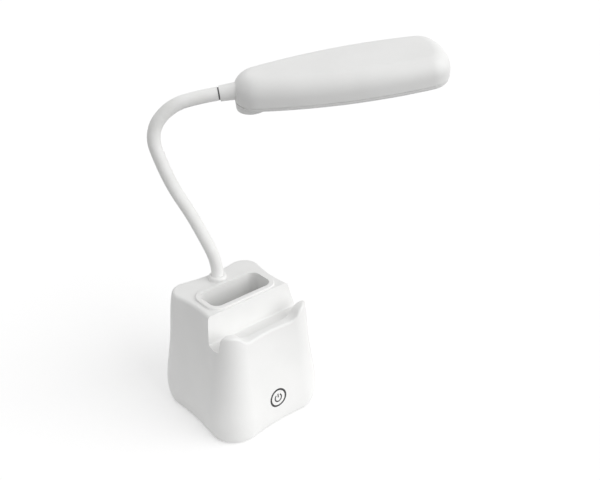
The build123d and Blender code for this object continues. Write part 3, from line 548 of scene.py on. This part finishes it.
class LAMP_OT_neck_cover(Operator):
    """Build the smooth silicone cover of the flexible neck, in stretches laid along it as packed; only the
    last one rides with its link
    """

    bl_idname = "lamp.neck_cover"
    bl_label = "Neck Cover"

    def execute(self, context):
        sizes = context.scene.lamp_sizes
        rubber = silicone_rubber("milky_silicone", context.scene.lamp_colours.cover, "#F4F4F2")
        sleeves = ["neck_root_sleeve"] + [f"neck_sleeve_{number + 1}" for number in range(LINK_COUNT)]
        lay_along_neck("neck_cover", sizes.cover_radius, sizes.cover_sides, sizes.cover_foot,
                       rubber, sleeves)
        return {"FINISHED"}


class LAMP_OT_leads(Operator):
    """Lay the lead through the neck along its packed shape, and give all leads their finish"""

    bl_idname = "lamp.leads"
    bl_label = "Leads"

    def execute(self, context):
        sizes = context.scene.lamp_sizes
        vinyl = wire_cover()
        lay_along_neck("neck_wire", sizes.lead_radius, sizes.lead_sides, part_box("neck_lead")[0][2],
                       vinyl, ["neck_lead"] * (LINK_COUNT + 1))
        dress(vinyl, "battery_leads", "touch_lead", "head_lead")
        return {"FINISHED"}


# Screws

def facing(place, axis):
    """Return the frame whose origin is at place and whose Z looks along axis."""
    return Matrix.Translation(place) @ axis.to_track_quat("Z", "Y").to_matrix().to_4x4()


def screw_head(build, place, axis, size, recess, steps=18):
    """Add a low domed head with a cross recess, seated at place and facing along axis."""
    seat = facing(place, axis)
    radius = size.head_radius
    cross_half_width = radius * 0.2
    cross_reach = radius * 0.62
    dome_drop = 0.22

    def top(x, y):
        """Height of the head's face at one place: a low dome, cut by the cross."""
        away = (x * x + y * y) ** 0.5 / radius
        dome = size.head_height * (1 - dome_drop * away ** 3)
        near, far = sorted((abs(x), abs(y)))
        return dome - recess if near < cross_half_width and far < cross_reach else dome

    # A square grid laid out on the round head, so that the cross has straight walls
    flat = {}
    grid = {}
    for i in range(-steps, steps + 1):
        for j in range(-steps, steps + 1):
            x, y = i / steps, j / steps
            reach = max(abs(x), abs(y))
            length = (x * x + y * y) ** 0.5
            pull = (1 - reach ** 2 + reach ** 3 / length) * radius if length > 0 else 0
            flat[i, j] = x * pull, y * pull
            grid[i, j] = build.verts.new(seat @ Vector((*flat[i, j], top(*flat[i, j]))))
    for i in range(-steps, steps):
        for j in range(-steps, steps):
            build.faces.new((grid[i, j], grid[i + 1, j], grid[i + 1, j + 1], grid[i, j + 1]))
    rim = [(i, -steps) for i in range(-steps, steps)]
    rim += [(steps, j) for j in range(-steps, steps)]
    rim += [(i, steps) for i in range(steps, -steps, -1)]
    rim += [(-steps, j) for j in range(steps, -steps, -1)]
    foot = [build.verts.new(seat @ Vector((*flat[key], 0))) for key in rim]
    for k in range(len(rim)):
        following = (k + 1) % len(rim)
        build.faces.new((foot[k], foot[following], grid[rim[following]], grid[rim[k]]))
    build.faces.new(list(reversed(foot)))


def screw_shank(build, place, axis, size, pitch, sides=20):
    """Add a threaded shank below a head: rings that rise and fall by the thread's pitch."""
    seat = facing(place, axis)
    root_share = 0.84
    count = round(size.shank_length / pitch) * 2
    turns = [2 * pi * k / sides for k in range(sides)]
    loops = []
    for ring in range(count + 1):
        reach = size.shank_radius * (1.0 if ring % 2 else root_share)
        depth = -size.shank_length * ring / count
        loops.append([
            build.verts.new(seat @ Vector((reach * cos(turn), reach * sin(turn), depth)))
            for turn in turns
        ])
    for low, high in zip(loops, loops[1:]):
        for k in range(sides):
            following = (k + 1) % sides
            build.faces.new((high[k], high[following], low[following], low[k]))
    build.faces.new(list(reversed(loops[-1])))
    build.faces.new(loops[0])


def screw_set(name, places, axis, size, material):
    """Build a set of like screws as one piece."""
    sizes = bpy.context.scene.lamp_sizes
    build = bmesh.new()
    for place in places:
        screw_head(build, place, axis, size, sizes.screw_recess)
        screw_shank(build, place, axis, size, sizes.thread_pitch)
    mesh = bpy.data.meshes.new(name)
    build.to_mesh(mesh)
    build.free()
    mesh.shade_smooth()
    mesh.set_sharp_from_angle(angle=radians(35))
    return new_piece(name, mesh, material)


def separate_solids(node):
    """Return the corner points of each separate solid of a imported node, one list for each."""
    build = bmesh.new()
    build.from_mesh(frame["nodes"][node].data)
    bmesh.ops.remove_doubles(build, verts=build.verts, dist=1e-6)
    found = set()
    solids = []
    for first in build.verts:
        if first in found:
            continue
        found.add(first)
        stack = [first]
        points = []
        while stack:
            vertex = stack.pop()
            points.append(vertex.co.copy())
            for edge in vertex.link_edges:
                other = edge.other_vert(vertex)
                if other not in found:
                    found.add(other)
                    stack.append(other)
        solids.append(points)
    build.free()
    return solids


def head_seat(points, axis, head_height):
    """Return where a packed screw's head sits, from its points: on its axis, one head below its top."""
    middle = sum(points, Vector()) / len(points)
    highest = max(point.dot(axis) for point in points)
    return middle + axis * (highest - head_height - middle.dot(axis))


def head_up(roll_angle):
    """Return the lamp head's up direction: square to the neck's end, and rolled about it."""
    forward = Vector(JOINTS["head_twist"]["axis"]).normalized()
    side = UP.cross(forward).normalized()
    return forward.cross(Matrix.Rotation(roll_angle, 3, forward) @ side)


class LAMP_OT_screws(Operator):
    """Give the screws cross recesses and threads"""

    bl_idname = "lamp.screws"
    bl_label = "Screws"

    def execute(self, context):
        steel = plated_steel("zinc_plated_steel", "#C4C6C8", "#9EA1A4")
        head_down = -head_up(context.scene.lamp_sizes.head_roll)
        sets = (
            ("head_screw_set", "head_screws", "head", head_down, HEAD_SCREW),
            ("led_board_screw_set", "led_board_screws", "head", head_down, LED_BOARD_SCREW),
            ("cover_screw_set", "cover_screws", "base", -UP, COVER_SCREW),
        )
        for name, node, body, axis, size in sets:
            places = [head_seat(points, axis, size.head_height) for points in separate_solids(node)]
            piece = screw_set(name, places, axis, size, steel)
            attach(piece, body)
            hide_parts(node)
        return {"FINISHED"}


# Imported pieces

class LAMP_OT_shells(Operator):
    """Give the white and grey shells, the key mark, the washer and the mat their finish"""

    bl_idname = "lamp.shells"
    bl_label = "Shells"

    def execute(self, context):
        colours = context.scene.lamp_colours
        white = moulded_abs("satin_moulded_abs", colours.shell, "#EEEEED")
        dress(white, "base_shell", "pen_cup", "neck_ferrule")
        dress(white, "head_collar", "head_top_shell", "head_lower_housing")
        dress(key_ink(colours.mark), "power_mark")
        dress(silicone_rubber("washer_rubber", colours.seam, "#646466"), "swivel_washer")
        dress(ribbed_mat(colours.mat), "anti_slip_mat")
        grey = moulded_abs("recycled_grey_abs", "#9A9A9C", "#949496")
        dress(grey, "bottom_cover", "battery_cradle", "ferrule_nut")
        return {"FINISHED"}


class LAMP_OT_light(Operator):
    """Give the light opening, its board and its chips their finish"""

    bl_idname = "lamp.light"
    bl_label = "Light"

    def execute(self, context):
        colours = context.scene.lamp_colours
        dress(frosted_polycarbonate(colours.diffuser), "diffuser")
        dress(moulded_abs("white_polystyrene", "#F5F5F3", "#F0F0EE"), "reflector")
        dress(solder_mask("white_solder_mask", "#EEEEE9", "#E2E2DA"), "led_board")
        dress(phosphor_gel(), "led_chips")
        return {"FINISHED"}


class LAMP_OT_electrics(Operator):
    """Give the cell, the boards and the metal parts inside their finish"""

    bl_idname = "lamp.electrics"
    bl_label = "Cell and Boards"

    def execute(self, context):
        steel = plated_steel("nickel_plated_steel", "#C9CACC", "#A9ABAE")
        dress(steel, "charging_socket", "neck_anchor", "neck_spigot", "spigot_clip", "board_screws")
        dress(steel, *[f"neck_core_{number + 1}" for number in range(LINK_COUNT)])
        rolled = plated_steel("cold_rolled_steel", "#B4B6B8", "#8F9295", stretch=(0.05, 1, 1))
        dress(rolled, "ballast_plate")
        dress(shrink_sleeve(), "battery_cell")
        dress(contact_brass(), "battery_contacts")
        dress(solder_mask("green_solder_mask", "#1F5A38", "#2F7A4C"), "control_board", "touch_board")
        dress(moulded_epoxy(), "board_chips", "socket_tongue")
        dress(carbon_rubber(), "touch_pad")
        dress(clear_acrylic(), "charge_light_pipe")
        return {"FINISHED"}


# Stage

def studio_rays(tree):
    """Return a socket that is 1 for rays that show the white studio: seen, mirrored or through glass."""
    rays = add_node(tree, "ShaderNodeLightPath")
    seen = add_node(tree, "ShaderNodeMath", settings={"operation": "MAXIMUM"},
                    links={0: rays.outputs["Is Camera Ray"], 1: rays.outputs["Is Glossy Ray"]})
    shown = add_node(tree, "ShaderNodeMath", settings={"operation": "MAXIMUM"},
                     links={0: seen.outputs["Value"], 1: rays.outputs["Is Transmission Ray"]})
    return shown.outputs["Value"]


def floor_material(lift_level, sheet_reach):
    """Matt studio paper: the camera sees it near white, with the lamp's shadow on it."""
    material, tree, shader = new_material(
        "matt_studio_paper", "#DADADA", 0.9, ior=1.4, Specular_IOR_Level=0.1)
    add_grain(tree, shader, size=0.002, depth=0.0001, strength=0.1)
    shown = studio_rays(tree)
    # Bounced light comes from the paper round the lamp and fades away from it, as on a small table
    sheet_start = sheet_reach / 3
    away = add_node(tree, "ShaderNodeVectorMath", settings={"operation": "LENGTH"},
                    links={"Vector": own_place(tree)})
    fade = add_node(tree, "ShaderNodeMapRange", settings={"interpolation_type": "SMOOTHSTEP"},
                    values={"From Min": sheet_start, "From Max": sheet_reach},
                    links={"Value": away.outputs["Value"]})
    bounce = add_node(tree, "ShaderNodeMix", settings={"data_type": "RGBA"},
                      values={MIX_FIRST: linear("#E6E6E6"), MIX_SECOND: linear("#707070")},
                      links={"Factor": fade.outputs["Result"]})
    paper = add_node(tree, "ShaderNodeMix", settings={"data_type": "RGBA"},
                     values={MIX_SECOND: linear("#DADADA")},
                     links={"Factor": shown, MIX_FIRST: bounce.outputs[MIX_RESULT]})
    tree.links.new(paper.outputs[MIX_RESULT], shader.inputs["Base Color"])
    lift = add_node(tree, "ShaderNodeMath", settings={"operation": "MULTIPLY"}, values={1: lift_level},
                    links={0: shown})
    glow = add_node(tree, "ShaderNodeEmission", links={"Strength": lift.outputs["Value"]})
    both = add_node(tree, "ShaderNodeAddShader",
                    links={0: shader.outputs["BSDF"], 1: glow.outputs["Emission"]})
    tree.links.new(both.outputs["Shader"], tree.nodes["Material Output"].inputs["Surface"])
    return material


def lay_floor(stage):
    """Lay a square of studio paper under the lamp."""
    half = stage.floor_size / 2
    mesh = bpy.data.meshes.new("floor")
    corners = [(-half, -half, 0), (half, -half, 0), (half, half, 0), (-half, half, 0)]
    mesh.from_pydata(corners, [], [(0, 1, 2, 3)])
    floor = new_piece("floor", mesh, floor_material(stage.floor_lift, stage.sheet_reach))


def light_from_all_round(scene, level):
    """Light the lamp evenly, and put white behind everything that the camera sees."""
    scene.world = bpy.data.worlds.new("studio")
    scene.world.use_nodes = True
    tree = scene.world.node_tree
    sky = tree.nodes["Background"]
    sky.inputs["Color"].default_value = linear("#FFFFFF")
    sky.inputs["Strength"].default_value = level
    white = add_node(tree, "ShaderNodeBackground", values={"Color": linear("#FFFFFF"), "Strength": 1.0})
    choice = add_node(tree, "ShaderNodeMixShader", links={
        0: studio_rays(tree), 1: sky.outputs["Background"], 2: white.outputs["Background"]})
    tree.links.new(choice.outputs["Shader"], tree.nodes["World Output"].inputs["Surface"])


def place_key_light(scene, stage):
    """Shine one large soft light from the front and the right."""
    light = bpy.data.lights.new("key_light", "SUN")
    light.energy = stage.key_level
    light.angle = stage.key_spread
    key = bpy.data.objects.new("key_light", light)
    key.rotation_euler = (radians(90) - stage.key_rise, 0, stage.key_heading)
    # A metre out, in the direction from which it shines
    key.location = key.rotation_euler.to_matrix() @ UP
    scene.collection.objects.link(key)


def place_camera(scene, stage):
    """Stand the camera where the photograph was taken from."""
    data = bpy.data.cameras.new("camera")
    data.sensor_width = stage.sensor_width
    data.lens = stage.lens
    data.clip_start = stage.near_clip
    camera = bpy.data.objects.new("camera", data)
    camera.location = stage.camera_place
    camera.rotation_euler = (radians(90) - stage.camera_dip, 0, stage.camera_heading)
    scene.collection.objects.link(camera)
    scene.camera = camera


class LAMP_OT_stage(Operator):
    """Lay the floor, light it softly and set the camera"""

    bl_idname = "lamp.stage"
    bl_label = "Floor, Lights and Camera"

    def execute(self, context):
        scene = context.scene
        stage = scene.lamp_stage
        lay_floor(stage)
        light_from_all_round(scene, stage.sky_level)
        place_key_light(scene, stage)
        place_camera(scene, stage)
        scene.view_settings.view_transform = "Standard"
        return {"FINISHED"}


# Panel and registration

class LAMP_PT_panel(Panel):
    """Lists the lamp's sizes, colours, stage and the steps that dress it"""

    bl_idname = "LAMP_PT_panel"
    bl_label = "Desk Lamp"
    bl_space_type = "VIEW_3D"
    bl_region_type = "UI"
    bl_category = "Desk Lamp"

    def draw(self, context):
        for group in (context.scene.lamp_sizes, context.scene.lamp_colours, context.scene.lamp_stage):
            box = self.layout.box()
            for name in group.bl_rna.properties.keys():
                if name not in ("rna_type", "name"):
                    box.prop(group, name)
        for step in STEPS:
            self.layout.operator(step.bl_idname)


STEPS = (
    LAMP_OT_stage, LAMP_OT_shells, LAMP_OT_neck_cover, LAMP_OT_leads,
    LAMP_OT_light, LAMP_OT_screws, LAMP_OT_electrics,
)
CLASSES = (LampSizes, LampColours, LampStage, *STEPS, LAMP_PT_panel)


def register():
    for each in CLASSES:
        bpy.utils.register_class(each)
    bpy.types.Scene.lamp_sizes = PointerProperty(type=LampSizes)
    bpy.types.Scene.lamp_colours = PointerProperty(type=LampColours)
    bpy.types.Scene.lamp_stage = PointerProperty(type=LampStage)


def unregister():
    del bpy.types.Scene.lamp_stage
    del bpy.types.Scene.lamp_colours
    del bpy.types.Scene.lamp_sizes
    for each in reversed(CLASSES):
        bpy.utils.unregister_class(each)


def main():
    register()
    bpy.ops.lamp.stage()
    bpy.ops.lamp.shells()
    bpy.ops.lamp.neck_cover()
    bpy.ops.lamp.leads()
    bpy.ops.lamp.light()
    bpy.ops.lamp.screws()
    bpy.ops.lamp.electrics()


if __name__ == "__main__":
    main()
